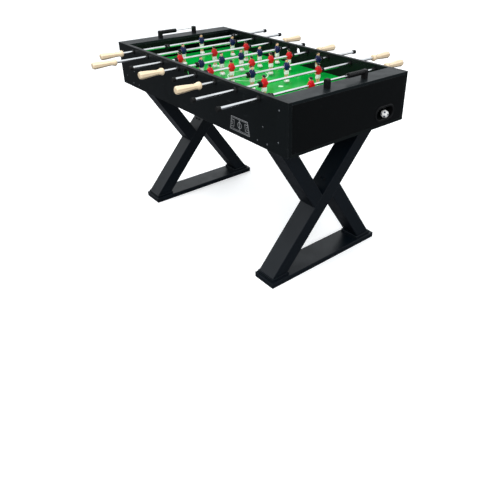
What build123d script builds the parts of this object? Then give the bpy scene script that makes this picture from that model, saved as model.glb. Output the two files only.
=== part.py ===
from build123d import *
import math
import os

# Foosball table. X runs along the table, Y across it, Z up from the floor.
# The origin is on the floor under the middle of the table. Millimetres throughout.
# The red team defends the +X end and has its handles on the +Y side.

# Cabinet
cabinet_length = 1397.0
cabinet_width = 691.0
cabinet_depth = 219.0
table_height = 901.0
panel_thickness = 18.0
goal_wall_thickness = 15.0
end_plate_width = 95.0
end_plate_thickness = 12.0
bottom_thickness = 12.0

# Playing field
field_below_top = 100.0
field_thickness = 5.0
rail_section = 20.0
goal_width = 200.0
goal_height = 70.0
goal_corner = 12.0

# Ball and its way back
ball_diameter = 35.0
ball_rest_gap = 0.3
cup_length = 126.0
cup_height = 70.0
cup_flange = 2.5
cup_rim = 4.0
cup_wall = 3.0
cup_lip = 3.0
cup_fit = 0.5
cup_from_corner = 132.0
cup_below_top = 160.0
cup_tube_behind_panel = 4.5
ball_behind_lip = 12.0
ball_beside_middle = 16.0
chute_sheet = 3.0
chute_side = 25.0
chute_start = 130.0
chute_rise = 44.0
chute_clearance = 1.5
serve_hole_diameter = 46.0
serve_below_top = 32.0
serve_flange = 4.0
serve_flange_thickness = 2.0
serve_wall = 3.0

# Rods and what rides on them
rod_count = 8
rod_diameter = 12.7
rod_below_top = 24.0
goal_to_rod = 78.5
bushing_diameter = 20.0
bushing_flange_diameter = 26.0
bushing_outside = 5.0
bushing_inside = 8.0
bushing_nut_thickness = 6.0
bushing_nut_diameter = 28.0
running_clearance = 0.06
seat_clearance = 0.03
bumper_diameter = 26.0
bumper_length = 12.0
washer_diameter = 22.0
washer_thickness = 1.5
collar_length = 12.0
stop_gap = 0.5
hub_gap = 0.3
hub_diameter = 20.0
hub_width = 30.0
handle_length = 120.0
handle_radius = 17.0
handle_bore_depth = 66.0
handle_pin_diameter = 4.5
handle_pin_from_end = 36.0
cap_diameter = 19.5
cap_length = 16.0
cap_end = 4.0

# Figures: how far the feet stay above the field, and the head above the rod's axis
figure_field_gap = 7.0
figure_head = 36.5

# Score counters
post_spacing = 218.0
post_shift = 6.0
post_from_end = 48.0
post_length = 24.0
post_width = 20.0
post_height = 37.0
wire_diameter = 4.0
wire_above_plate = 27.0
bead_count = 10
bead_diameter = 21.5
bead_length = 9.0
bead_to_post = 0.5

# Legs, an X at each end made of one long beam and two short ones
leg_from_end = 161.0
beam_depth = 100.0
beam_width = 68.0
long_beam_foot = 288.0
short_beam_foot = 280.0
short_beam_top = 268.0
short_beam_drop = 12.0
foot_board_length = 695.0
foot_board_width = 130.0
foot_board_thickness = 27.0
plinth_height = 14.0
plinth_margin = 5.0

# Fasteners
screw_head_diameter = 9.0
screw_head_height = 1.6
screw_shank_diameter = 4.0
screw_shank_length = 14.0
bolt_head_diameter = 16.0
bolt_head_height = 5.0
bolt_shank_diameter = 8.0
bolt_grip = 30.0
bolt_spacing = 50.0
crossing_bolt_rise = 66.0
crossing_bolt_spacing = 28.0
crossing_bolt_head = 11.0

# Rod name, team side (+1 handle at +Y), figures, travel each way, place at rest
rods = (
    ("red_goalie", 1, 1, 87.0, -70.0),
    ("red_defence", 1, 2, 133.0, -40.0),
    ("blue_attack", -1, 3, 87.0, 57.0),
    ("red_midfield", 1, 5, 54.0, -32.0),
    ("blue_midfield", -1, 5, 54.0, 16.0),
    ("red_attack", 1, 3, 87.0, -43.0),
    ("blue_defence", -1, 2, 133.0, 20.0),
    ("blue_goalie", -1, 1, 87.0, 71.0),
)

# Bare rod left outside the panel when it is pushed in as far as it goes, by the number of
# figures on it: on the handle's side, then on the free end's side
bare_rod = {1: (44.0, 37.0), 2: (52.0, 34.0), 3: (39.0, 38.0), 5: (38.0, 32.0)}

# Places that follow from the sizes above
half_length = cabinet_length / 2
half_width = cabinet_width / 2
inner_half_width = half_width - panel_thickness
cabinet_bottom = table_height - cabinet_depth
field_top = table_height - field_below_top
field_half_length = half_length - end_plate_width
plate_bottom = table_height - end_plate_thickness
bottom_top = cabinet_bottom + bottom_thickness
rod_height = table_height - rod_below_top
rod_pitch = 2 * (field_half_length - goal_to_rod) / (rod_count - 1)
cup_y = half_width - cup_from_corner
cup_z = table_height - cup_below_top
serve_z = table_height - serve_below_top
figure_foot = field_below_top - rod_below_top - figure_field_gap
cup_floor = cup_z - cup_height / 2 + cup_rim + cup_wall
post_x = half_length - post_from_end
wire_z = table_height + wire_above_plate
leg_x = half_length - leg_from_end
leg_bottom = foot_board_thickness + plinth_height
leg_middle = (leg_bottom + cabinet_bottom) / 2


def block(low, high):
    """A box between two corners."""
    size = [b - a for a, b in zip(low, high)]
    middle = [(a + b) / 2 for a, b in zip(low, high)]
    return Pos(*middle) * Box(*size)


def rod_across(diameter, start, end, x=0.0, z=0.0):
    """A round bar along Y between two Y values."""
    bar = Rot(90, 0, 0) * Cylinder(diameter / 2, abs(end - start))
    return Pos(x, (start + end) / 2, z) * bar


def ring_across(outer, inner, start, end, x=0.0, z=0.0):
    """A round ring along Y between two Y values."""
    over = 1.0
    low, high = min(start, end), max(start, end)
    bore = rod_across(inner, low - over, high + over, x, z)
    return rod_across(outer, low, high, x, z) - bore


def half_turn(shape):
    """The same piece at the other end of the table."""
    return Rot(0, 0, 180) * shape


def rod_x(index):
    return (field_half_length - goal_to_rod) - index * rod_pitch


def screw_places():
    """Side panel screws at one end: distance from the end and below the top."""
    bottom_row = cabinet_depth - bottom_thickness - 10.0
    return (
        (51.0, 40.0),
        (150.0, field_below_top + field_thickness + rail_section / 2 + 16.0),
        (56.0, bottom_row - 28.0),
        (124.0, bottom_row),
        (186.0, bottom_row),
    )


# Cabinet ------------------------------------------------------------------

def side_panel(side):
    """A long panel with eight bushing holes, the serving hole and screw holes."""
    inner, outer = side * inner_half_width, side * half_width
    low = (-half_length, min(inner, outer), cabinet_bottom)
    high = (half_length, max(inner, outer), table_height)
    panel = block(low, high)
    for index in range(rod_count):
        panel -= rod_across(bushing_diameter, inner - side, outer + side, rod_x(index), rod_height)
    panel -= rod_across(serve_hole_diameter, inner - side, outer + side, 0.0, serve_z)
    depth = outer - side * screw_shank_length
    for end in (-1, 1):
        for from_end, below in screw_places():
            x = end * (half_length - from_end)
            z = table_height - below
            panel -= rod_across(screw_shank_diameter, depth, outer + side, x, z)
    return panel


def stadium_bar(length, height, start, end):
    """A bar along X with an oval section, centred on the ball return."""
    profile = Plane.YZ * SlotOverall(length, height)
    return Pos(start, cup_y, cup_z) * extrude(profile, end - start)


def end_panel():
    """The short outer panel at +X with the oval hole of the ball return."""
    low = (half_length - panel_thickness, -inner_half_width, bottom_top)
    high = (half_length, inner_half_width, plate_bottom)
    length = cup_length - 2 * cup_rim + 2 * cup_fit
    height = cup_height - 2 * cup_rim + 2 * cup_fit
    hole = stadium_bar(length, height, half_length - panel_thickness - 1, half_length + 1)
    return block(low, high) - hole


def goal_wall():
    """The inner end wall at +X with the goal cut out above the field."""
    low = (field_half_length, -inner_half_width, bottom_top)
    high = (field_half_length + goal_wall_thickness, inner_half_width, plate_bottom)
    over = 1.0
    goal_low = (low[0] - over, -goal_width / 2, field_top)
    goal_high = (high[0] + over, goal_width / 2, field_top + goal_height)
    goal = block(goal_low, goal_high)
    upper = goal.edges().filter_by(Axis.X).group_by(Axis.Z)[-1]
    return block(low, high) - fillet(upper, goal_corner)


def end_top_plate():
    low = (field_half_length, -inner_half_width, plate_bottom)
    high = (half_length, inner_half_width, table_height)
    return block(low, high)


def playfield():
    low = (-field_half_length, -inner_half_width, field_top - field_thickness)
    high = (field_half_length, inner_half_width, field_top)
    return block(low, high)


def playfield_rails():
    """Strips round the underside of the field, two long and two short."""
    top = field_top - field_thickness
    strips = []
    for side in (-1, 1):
        y = sorted((side * inner_half_width, side * (inner_half_width - rail_section)))
        low = (-field_half_length, y[0], top - rail_section)
        strips.append(block(low, (field_half_length, y[1], top)))
        x = sorted((side * field_half_length, side * (field_half_length - rail_section)))
        reach = inner_half_width - rail_section
        low = (x[0], -reach, top - rail_section)
        strips.append(block(low, (x[1], reach, top)))
    return strips


def bottom_panel():
    reach = half_length
    low = (-reach, -inner_half_width, cabinet_bottom)
    panel = block(low, (reach, inner_half_width, bottom_top))
    for x, y in leg_bolt_places():
        hole = Cylinder(bolt_shank_diameter / 2, 3 * bottom_thickness)
        panel -= Pos(x, y, cabinet_bottom) * hole
    return panel


# Ball return --------------------------------------------------------------

def return_cup():
    """Oval rim on the end panel with a short oval tube, whose floor the ball lies on."""
    tube_length = cup_length - 2 * cup_rim
    tube_height = cup_height - 2 * cup_rim
    back = half_length - panel_thickness - cup_tube_behind_panel
    front = half_length + cup_flange
    cup = stadium_bar(cup_length, cup_height, half_length, front)
    cup += stadium_bar(tube_length, tube_height, back, half_length)
    cup -= stadium_bar(tube_length - 2 * cup_wall, tube_height - 2 * cup_wall, back - 1, half_length)
    inset = 2 * (cup_wall + cup_lip)
    cup -= stadium_bar(tube_length - inset, tube_height - inset, back - 1, front + 1)
    return cup


def ball_chute():
    """A bent channel on the back of the goal wall that slopes down to the return cup."""
    back = field_half_length + goal_wall_thickness
    front = half_length - panel_thickness - cup_tube_behind_panel - chute_clearance
    level_start = cup_y - cup_length / 2 + cup_rim
    level_end = cup_y + cup_length / 2 - cup_rim
    high = cup_floor + chute_rise

    def along(bottom, top, near, far):
        outline = Polyline(
            (-chute_start, high + bottom),
            (level_start, cup_floor + bottom),
            (level_end, cup_floor + bottom),
            (level_end, cup_floor + top),
            (level_start, cup_floor + top),
            (-chute_start, high + top),
            close=True,
        )
        return Pos(near, 0, 0) * extrude(Plane.YZ * make_face(outline), far - near)

    chute = along(-chute_sheet, 0.0, back, front)
    chute += along(-chute_sheet, chute_side, back, back + chute_sheet)
    wall = along(-chute_sheet, chute_side, front - chute_sheet, front)
    mouth_low = (front - 2 * chute_sheet, level_start, cup_floor)
    mouth_high = (front + chute_sheet, level_end + 1, cup_floor + 2 * chute_side)
    chute += wall - block(mouth_low, mouth_high)
    end_low = (back, level_end, cup_floor - chute_sheet)
    chute += block(end_low, (front, level_end + chute_sheet, cup_floor + chute_side))
    start_low = (back, -chute_start - chute_sheet, high - chute_sheet)
    chute += block(start_low, (front, -chute_start, high + chute_side))
    return chute


def ball_place():
    x = half_length - ball_behind_lip
    z = cup_floor + ball_diameter / 2 + ball_rest_gap
    return (x, cup_y + ball_beside_middle, z)


def serve_ring(side):
    """A flanged ring that lines the serving hole in one side panel."""
    outer, inner = side * half_width, side * inner_half_width
    bore = serve_hole_diameter - 2 * serve_wall
    flange = serve_hole_diameter + 2 * serve_flange
    proud = outer + side * serve_flange_thickness
    ring = ring_across(flange, bore, outer, proud, 0.0, serve_z)
    return ring + ring_across(serve_hole_diameter, bore, inner, outer, 0.0, serve_z)


# Rods ---------------------------------------------------------------------

def bushing(side):
    """A flanged sleeve through one side panel, open for the rod."""
    bore = rod_diameter + 2 * running_clearance
    outer = side * half_width
    inside = side * (inner_half_width - bushing_inside)
    sleeve = ring_across(bushing_flange_diameter, bore, outer, outer + side * bushing_outside)
    return sleeve + ring_across(bushing_diameter, bore, inside, outer)


def bushing_nut(side):
    inner = side * inner_half_width
    end = side * (inner_half_width - bushing_nut_thickness)
    return ring_across(bushing_nut_diameter, bushing_diameter, inner, end)


def rod_bushings():
    solids = []
    for index in range(rod_count):
        for side in (-1, 1):
            for piece in (bushing(side), bushing_nut(side)):
                solids.append(Pos(rod_x(index), 0, rod_height) * piece)
    return solids


def stack_length():
    """Washer and bumper beside a figure's hub, or beside a goalie's collar."""
    return washer_thickness + bumper_length


def outer_figure(travel):
    """How far the outermost figure's middle, or the collar's, is from the rod's middle."""
    bumper_face = inner_half_width - bushing_inside - stop_gap - travel
    return bumper_face - stack_length() - hub_gap - hub_width / 2


def figure_places(count, travel):
    if count == 1:
        return [0.0]
    reach = outer_figure(travel)
    return [-reach + 2 * reach * i / (count - 1) for i in range(count)]


def handle_start(count, travel):
    """Start of the handle from the rod's middle."""
    return half_width + travel + bare_rod[count][0]


def free_end(count, travel):
    """The capped end from the rod's middle."""
    return -(half_width + travel + bare_rod[count][1])


def steel_rod(count, travel):
    start = free_end(count, travel) + cap_end
    end = handle_start(count, travel) + handle_bore_depth - 1.0
    return rod_across(rod_diameter, start, end)


def end_cap(count, travel):
    end = free_end(count, travel)
    cap = rod_across(cap_diameter, end, end + cap_length)
    bore = rod_diameter + 2 * seat_clearance
    return cap - rod_across(bore, end + cap_end, end + cap_length + 1)


def handle(count, travel):
    """A turned wooden handle with a flared end, a waist and a bulb next to the table."""
    start = handle_start(count, travel)
    r = handle_radius
    outline = [
        (0.0, 0.0), (0.72 * r, 0.0), (0.94 * r, 4.0), (0.96 * r, 12.0), (0.84 * r, 19.0),
        (0.72 * r, 28.0), (0.76 * r, 44.0), (0.92 * r, handle_length - 40.0),
        (r, handle_length - 12.0), (0.9 * r, handle_length - 2.0),
        (0.8 * r, handle_length), (0.0, handle_length),
    ]
    profile = make_face(Plane.XY * Polyline(*outline, close=True))
    grip = Pos(0, start, 0) * revolve(profile, Axis.Y)
    bore = rod_diameter + 2 * seat_clearance
    grip -= rod_across(bore, start - 1, start + handle_bore_depth)
    pin = Cylinder(handle_pin_diameter / 2, handle_radius)
    above = rod_diameter / 2 + 1.0 + handle_radius / 2
    return grip - Pos(0, start + handle_pin_from_end, above) * pin


def figure():
    """A player that faces +X: side outline and front outline crossed, hub, neck and head."""
    foot = -figure_foot
    knee = foot + 29.0
    hem = knee + 6.0
    side = Polyline(
        (-9, foot), (14, foot), (14, foot + 7), (6, foot + 15), (5, knee), (8, hem + 2),
        (9, 8), (7, 20), (-6, 21), (-9, 8), (-8, hem + 4), (-6, knee), (-6, foot + 14), (-9, foot + 6),
        close=True,
    )
    arm = hub_width / 2
    front = Polyline(
        (-11, foot), (11, foot), (11, foot + 14), (9, foot + 18), (9, hem - 2), (12, hem),
        (12, -14), (arm, 4), (arm - 1, 17), (8, 21), (-8, 21), (1 - arm, 17), (-arm, 4), (-12, -14),
        (-12, hem), (-9, hem - 2), (-9, foot + 18), (-11, foot + 14),
        close=True,
    )
    depth = extrude(Plane.XZ * make_face(side), 20, both=True)
    width = extrude(Plane.YZ * make_face(front), 20, both=True)
    body = depth & width
    head_radius = 8.5
    head_middle = figure_head - head_radius
    body += rod_across(hub_diameter, -hub_width / 2, hub_width / 2)
    body += Pos(1, 0, (20 + head_middle) / 2) * Cylinder(4.5, head_middle - 16)
    body += Pos(2, 0, head_middle) * Sphere(head_radius)
    bore = rod_diameter + 2 * seat_clearance
    return body - rod_across(bore, -hub_width, hub_width)


def stops(count, travel):
    """Washer and rubber bumper at each side, with a collar behind them on a goalie's rod."""
    inner_bore = rod_diameter + 2 * running_clearance
    solids = []
    reach = outer_figure(travel) + hub_width / 2 + hub_gap
    for side in (-1, 1):
        face = side * reach
        washer_end = face + side * washer_thickness
        bumper_end = washer_end + side * bumper_length
        solids.append(ring_across(washer_diameter, inner_bore, face, washer_end))
        solids.append(ring_across(bumper_diameter, inner_bore, washer_end, bumper_end))
        if count == 1:
            collar = face - side * collar_length
            solids.append(ring_across(hub_diameter, inner_bore, collar, face))
    return solids


def rod_pieces(index):
    """Every node of one rod, in its place at rest."""
    name, side, count, travel, offset = rods[index]
    place = Pos(rod_x(index), offset, rod_height)
    turn = Rot(0, 0, 0) if side == 1 else Rot(0, 0, 180)
    facing = turn * Rot(0, 0, 180)
    figures = [place * Pos(0, y, 0) * facing * figure() for y in figure_places(count, travel)]
    return {
        name + "_rod": place * turn * steel_rod(count, travel),
        name + "_figures": figures,
        name + "_handle": place * turn * handle(count, travel),
        name + "_end_cap": place * turn * end_cap(count, travel),
        name + "_stops": [place * piece for piece in stops(count, travel)],
    }


# Score counters -----------------------------------------------------------

def score_posts():
    """Two posts and the wire between them at each end."""
    solids = []
    for end in (-1, 1):
        for side in (-1, 1):
            x, y = end * post_x, end * post_shift + side * post_spacing / 2
            low = (x - post_length / 2, y - post_width / 2, table_height)
            post = block(low, (x + post_length / 2, y + post_width / 2, table_height + post_height))
            top = post.edges().filter_by(Axis.Y).group_by(Axis.Z)[-1]
            solids.append(fillet(top, post_length * 0.3))
        reach = (post_spacing - post_width) / 2
        middle = end * post_shift
        wire = rod_across(wire_diameter, middle - reach, middle + reach, end * post_x, wire_z)
        solids.append(wire)
    return solids


def score_beads(end, side):
    """Ten beads pushed against one post."""
    bore = wire_diameter + 2 * running_clearance
    first = end * post_shift + side * ((post_spacing - post_width) / 2 - bead_to_post)
    solids = []
    for i in range(bead_count):
        start = first - side * i * bead_length
        bead = ring_across(bead_diameter, bore, start, start - side * bead_length)
        rims = bead.edges().filter_by(GeomType.CIRCLE).sort_by(SortBy.RADIUS)[-2:]
        solids.append(Pos(end * post_x, 0, wire_z) * chamfer(rims, 1.2))
    return solids


# Legs ---------------------------------------------------------------------

def beam_face(points):
    """A beam of the leg, from its outline across the table and up."""
    outline = Plane.YZ * make_face(Polyline(*points, close=True))
    return extrude(outline, beam_depth / 2, both=True)


def slanted_half(run, rise):
    """Half of a beam's width, measured level, for its slant."""
    return beam_width / 2 * math.hypot(run, rise) / rise


def long_beam_slope():
    return 2 * long_beam_foot / (cabinet_bottom - leg_bottom)


def long_beam():
    half = slanted_half(2 * long_beam_foot, cabinet_bottom - leg_bottom)
    foot, top = -long_beam_foot, long_beam_foot
    return beam_face((
        (foot - half, leg_bottom), (foot + half, leg_bottom),
        (top + half, cabinet_bottom), (top - half, cabinet_bottom),
    ))


def upper_short_beam(reach):
    """From under the cabinet, at the reach from its middle, down to the long beam's upper face."""
    slope = long_beam_slope()
    long_half = slanted_half(2 * long_beam_foot, cabinet_bottom - leg_bottom)
    meet_z = leg_middle - short_beam_drop
    meet_y = (meet_z - leg_middle) * slope - long_half
    run = meet_y + reach
    rise = cabinet_bottom - meet_z
    half = slanted_half(run, rise)

    def foot_of(top_y):
        # where the edge from top_y meets the long beam's face
        drop = (top_y + long_half - (cabinet_bottom - leg_middle) * slope) / -(slope + run / rise)
        return (top_y + run / rise * drop, cabinet_bottom - drop)

    left, right = -reach - half, -reach + half
    return beam_face((
        (left, cabinet_bottom), (right, cabinet_bottom), foot_of(right), foot_of(left),
    ))


def lower_short_beam():
    """An upper short beam turned half round the middle of the X."""
    turned = Rot(180, 0, 0) * (Pos(0, 0, -leg_middle) * upper_short_beam(short_beam_foot))
    return Pos(0, 0, leg_middle) * turned


def leg_frame():
    """The three beams of one X, with bolt holes in the two upper ends."""
    upper = [long_beam(), upper_short_beam(short_beam_top)]
    reach = bolt_grip - bottom_thickness
    for x, y in limb_bolt_places():
        hole = Pos(x, y, cabinet_bottom) * Cylinder(bolt_shank_diameter / 2, 2 * reach)
        upper = [beam - hole for beam in upper]
    return upper + [lower_short_beam()]


def both_legs(pieces):
    return [Pos(end * leg_x, 0, 0) * piece for end in (-1, 1) for piece in pieces]


def feet():
    """A foot board under each X with a plinth under each limb."""
    board = block(
        (-foot_board_width / 2, -foot_board_length / 2, 0),
        (foot_board_width / 2, foot_board_length / 2, foot_board_thickness),
    )
    half_x = beam_depth / 2 + plinth_margin
    long_half = slanted_half(2 * long_beam_foot, cabinet_bottom - leg_bottom) + plinth_margin
    plinths = []
    for y in (-long_beam_foot, short_beam_foot):
        low = (-half_x, y - long_half, foot_board_thickness)
        plinths.append(block(low, (half_x, y + long_half, leg_bottom)))
    return [board] + plinths


# Fasteners ----------------------------------------------------------------

def limb_bolt_places():
    """Bolts into the tops of one X's limbs, from the middle of the X."""
    steps = (-bolt_spacing / 2, bolt_spacing / 2)
    return [(step, y) for y in (-short_beam_top, long_beam_foot) for step in steps]


def leg_bolt_places():
    """Bolts through the bottom panel at both ends."""
    return [(end * leg_x + x, y) for end in (-1, 1) for x, y in limb_bolt_places()]


def panel_screw(side, x, z):
    face = side * half_width
    head = rod_across(screw_head_diameter, face, face + side * screw_head_height, x, z)
    return head + rod_across(screw_shank_diameter, face - side * screw_shank_length, face, x, z)


def leg_bolt(x, y):
    head = extrude(RegularPolygon(bolt_head_diameter / 2, 6), bolt_head_height)
    shank = Pos(0, 0, -bolt_grip / 2) * Cylinder(bolt_shank_diameter / 2, bolt_grip)
    return Pos(x, y, bottom_top) * (head + shank)


def crossing_bolt_heads():
    """Two bolt heads on the long beam's upper face, above the crossing."""
    slope = long_beam_slope()
    angle = math.degrees(math.atan(slope))
    half = slanted_half(2 * long_beam_foot, cabinet_bottom - leg_bottom)
    z = leg_middle + crossing_bolt_rise
    y = crossing_bolt_rise * slope - half
    head = Pos(0, 0, bolt_head_height / 2) * Cylinder(crossing_bolt_head / 2, bolt_head_height)
    tilted = Rot(90 - angle, 0, 0) * head
    return [Pos(step * crossing_bolt_spacing, y, z) * tilted for step in (-0.5, 0.5)]


def fasteners():
    solids = []
    for side in (-1, 1):
        for end in (-1, 1):
            for from_end, below in screw_places():
                solids.append(panel_screw(side, end * (half_length - from_end), table_height - below))
    solids += [leg_bolt(x, y) for x, y in leg_bolt_places()]
    return solids + both_legs(crossing_bolt_heads())


# Output -------------------------------------------------------------------

def nodes():
    made = {
        "front_side_panel": side_panel(-1),
        "rear_side_panel": side_panel(1),
        "red_end_panel": end_panel(),
        "blue_end_panel": half_turn(end_panel()),
        "goal_walls": [goal_wall(), half_turn(goal_wall())],
        "end_top_plates": [end_top_plate(), half_turn(end_top_plate())],
        "playfield": playfield(),
        "playfield_rails": playfield_rails(),
        "bottom_panel": bottom_panel(),
        "return_cups": [return_cup(), half_turn(return_cup())],
        "ball_chutes": [ball_chute(), half_turn(ball_chute())],
        "serve_rings": [serve_ring(-1), serve_ring(1)],
        "rod_bushings": rod_bushings(),
        "leg_beams": both_legs(leg_frame()),
        "feet": both_legs(feet()),
        "fasteners": fasteners(),
        "score_posts": score_posts(),
        "red_score_beads": score_beads(1, 1),
        "blue_score_beads": score_beads(-1, -1),
        "ball": Pos(*ball_place()) * Sphere(ball_diameter / 2),
    }
    for index in range(rod_count):
        made.update(rod_pieces(index))
    return made


os.makedirs("parts", exist_ok=True)
for node_name, piece in nodes().items():
    solids = piece if isinstance(piece, list) else [piece]
    shape = solids[0] if len(solids) == 1 else Compound(children=solids)
    export_step(shape, "parts/" + node_name + ".step")
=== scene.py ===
import math

import bmesh
import bpy
import numpy as np
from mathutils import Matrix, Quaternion, Vector


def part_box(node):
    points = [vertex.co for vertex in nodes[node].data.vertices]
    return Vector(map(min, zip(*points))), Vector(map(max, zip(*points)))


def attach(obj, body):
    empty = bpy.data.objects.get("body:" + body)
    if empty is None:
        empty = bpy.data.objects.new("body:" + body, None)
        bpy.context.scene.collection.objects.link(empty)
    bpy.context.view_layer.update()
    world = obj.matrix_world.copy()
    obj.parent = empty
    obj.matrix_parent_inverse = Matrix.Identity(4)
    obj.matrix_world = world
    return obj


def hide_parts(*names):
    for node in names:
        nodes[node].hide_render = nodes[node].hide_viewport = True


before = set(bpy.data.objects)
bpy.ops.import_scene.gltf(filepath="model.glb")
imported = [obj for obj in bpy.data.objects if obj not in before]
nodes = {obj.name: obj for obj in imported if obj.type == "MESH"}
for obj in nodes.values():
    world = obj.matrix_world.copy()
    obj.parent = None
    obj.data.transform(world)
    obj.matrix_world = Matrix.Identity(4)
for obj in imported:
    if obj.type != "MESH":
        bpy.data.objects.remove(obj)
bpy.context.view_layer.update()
mm = 0.001
print("frame:", len(nodes), "nodes")

# rod name, side of its handle, number of players
rods = (
    ("red_goalie", 1, 1), ("red_defence", 1, 2), ("blue_attack", -1, 3), ("red_midfield", 1, 5),
    ("blue_midfield", -1, 5), ("red_attack", 1, 3), ("blue_defence", -1, 2), ("blue_goalie", -1, 1),
)
rodRadius, rodBore = 6.35, 6.4


# Camera, floor and light

studio = {
    "place": (2.0208, -1.5112, 1.4707),
    "azimuth": 140.04,      # degrees from +X, the way it looks
    "down": 30.24,
    "roll": -0.18,
    "lens": 36.37,
    "shift": (-0.0529, -0.0721),
    "floorSize": 60.0,
    "floorColour": (0.97, 0.97, 0.968, 1),
    # painted shade: every ray but the camera's sees the floor this dark, so undersides and downward
    # reflections come out dark
    "floorPaintedShade": (0.085, 0.09, 0.10, 1),   # what the floor gives to everything but the camera
    "keyPower": 62.0,
    "fillPower": 75.0,
    "backPower": 34.0,
    "floorLift": 0.24,      # evens out the floor the camera sees, so its shadow stays faint
    "skyStrength": 1.0,
    "skyRise": (-0.05, 0.42, 0.45),   # dim at the horizon, full from here up, and how dim
    "skyColour": (0.95, 0.99, 1.02, 1),
}


def aim(thing, place, direction, roll=0.0):
    """Puts a camera or light at a place, looking along a direction."""
    turn = Vector(direction).to_track_quat("-Z", "Y") @ Quaternion((0, 0, 1), math.radians(roll))
    thing.location = place
    thing.rotation_euler = turn.to_euler()
    bpy.context.scene.collection.objects.link(thing)


def makeCamera():
    data = bpy.data.cameras.new("camera")
    data.sensor_width = 36.0
    data.lens = studio["lens"]
    data.shift_x, data.shift_y = studio["shift"]
    data.clip_end = 200.0
    camera = bpy.data.objects.new("camera", data)
    azimuth, down = math.radians(studio["azimuth"]), math.radians(studio["down"])
    level = math.cos(down)
    look = (level * math.cos(azimuth), level * math.sin(azimuth), -math.sin(down))
    aim(camera, studio["place"], look, studio["roll"])
    bpy.context.scene.camera = camera


def areaLight(name, place, target, size, power, colour=(1, 1, 1)):
    data = bpy.data.lights.new(name, "AREA")
    data.shape = "RECTANGLE"
    data.size, data.size_y = size
    data.energy = power
    data.color = colour
    light = bpy.data.objects.new(name, data)
    light.visible_glossy = False
    aim(light, place, Vector(target) - Vector(place))


def makeLights():
    areaLight("keyLight", (-0.6, -0.9, 3.4), (0, 0, 0.8), (2.6, 2.2), studio["keyPower"])
    areaLight("fillLight", (2.8, -2.2, 2.2), (0, 0, 0.6), (1.6, 1.6), studio["fillPower"])
    areaLight("backLight", (-2.6, 2.6, 2.6), (0, 0, 0.9), (2.4, 1.6), studio["backPower"])
    world = bpy.data.worlds.new("studioAir")
    world.use_nodes = True
    tree = world.node_tree
    path = tree.nodes.new("ShaderNodeLightPath")
    rise = addNode(tree, "SeparateXYZ", {0: addNode(tree, "TexCoord").outputs["Generated"]})
    low, high, dim = studio["skyRise"]
    glow = remap(tree, rise.outputs["Z"], low, high, dim * studio["skyStrength"], studio["skyStrength"],
                 smooth=True)
    strength = calc(tree, "MAXIMUM", glow, path.outputs["Is Camera Ray"])
    background = tree.nodes["Background"]
    tree.links.new(mixColour(tree, path.outputs["Is Camera Ray"], studio["skyColour"], (1, 1, 1, 1)),
                   background.inputs["Color"])
    tree.links.new(strength, background.inputs["Strength"])
    bpy.context.scene.world = world
    bpy.context.scene.view_settings.view_transform = "Standard"


# Node building

def addNode(tree, kind, inputs=None, **settings):
    """One shader node. An input is a fixed value or another node's output."""
    node = tree.nodes.new("ShaderNode" + kind)
    for key, value in settings.items():
        setattr(node, key, value)
    for key, value in (inputs or {}).items():
        if isinstance(value, bpy.types.NodeSocket):
            tree.links.new(value, node.inputs[key])
        else:
            node.inputs[key].default_value = value
    return node


def calc(tree, operation, a, b=0.0, c=0.0):
    given = {0: a, 1: b, 2: c}
    return addNode(tree, "Math", given, operation=operation).outputs[0]


def remap(tree, value, low, high, newLow=0.0, newHigh=1.0, smooth=False):
    given = {"Value": value, "From Min": low, "From Max": high, "To Min": newLow, "To Max": newHigh}
    kind = "SMOOTHSTEP" if smooth else "LINEAR"
    return addNode(tree, "MapRange", given, interpolation_type=kind).outputs["Result"]


def noise(tree, vector, scale, detail=3.0, rough=0.5, distortion=0.0):
    given = {"Vector": vector, "Scale": scale, "Detail": detail, "Roughness": rough,
             "Distortion": distortion}
    return addNode(tree, "TexNoise", given).outputs["Fac"]


def mixColour(tree, mask, first, second, blend="MIX"):
    node = addNode(tree, "Mix", None, data_type="RGBA", blend_type=blend)
    for socket, value in ((0, mask), (6, first), (7, second)):
        if isinstance(value, bpy.types.NodeSocket):
            tree.links.new(value, node.inputs[socket])
        else:
            node.inputs[socket].default_value = value
    return node.outputs[2]


def scaled(tree, vector, factors):
    given = {0: vector, 1: factors}
    return addNode(tree, "VectorMath", given, operation="MULTIPLY").outputs[0]


def objectPlace(tree):
    return addNode(tree, "TexCoord").outputs["Object"]


def bump(tree, height, strength, distance, normal=None):
    given = {"Height": height, "Strength": strength, "Distance": distance}
    if normal is not None:
        given["Normal"] = normal
    return addNode(tree, "Bump", given).outputs["Normal"]


def newMaterial(name, constants):
    """A Principled material. The constants are set on the shader's own sockets."""
    material = bpy.data.materials.new(name)
    material.use_nodes = True
    tree = material.node_tree
    tree.nodes.clear()
    shader = addNode(tree, "BsdfPrincipled", constants)
    output = addNode(tree, "OutputMaterial")
    tree.links.new(shader.outputs["BSDF"], output.inputs["Surface"])
    return material, tree, shader


def newGroup(name, inputs, outputs):
    group = bpy.data.node_groups.new(name, "ShaderNodeTree")
    kinds = {"value": "NodeSocketFloat", "vector": "NodeSocketVector", "colour": "NodeSocketColor"}
    for label, kind, start in inputs:
        socket = group.interface.new_socket(name=label, in_out="INPUT", socket_type=kinds[kind])
        if start is not None:
            socket.default_value = start
    for label, kind in outputs:
        group.interface.new_socket(name=label, in_out="OUTPUT", socket_type=kinds[kind])
    return group, group.nodes.new("NodeGroupInput").outputs, group.nodes.new("NodeGroupOutput").inputs


def placeGroup(tree, group, inputs):
    node = tree.nodes.new("ShaderNodeGroup")
    node.node_tree = group
    for key, value in inputs.items():
        if isinstance(value, bpy.types.NodeSocket):
            tree.links.new(value, node.inputs[key])
        else:
            node.inputs[key].default_value = value
    return node.outputs


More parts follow.
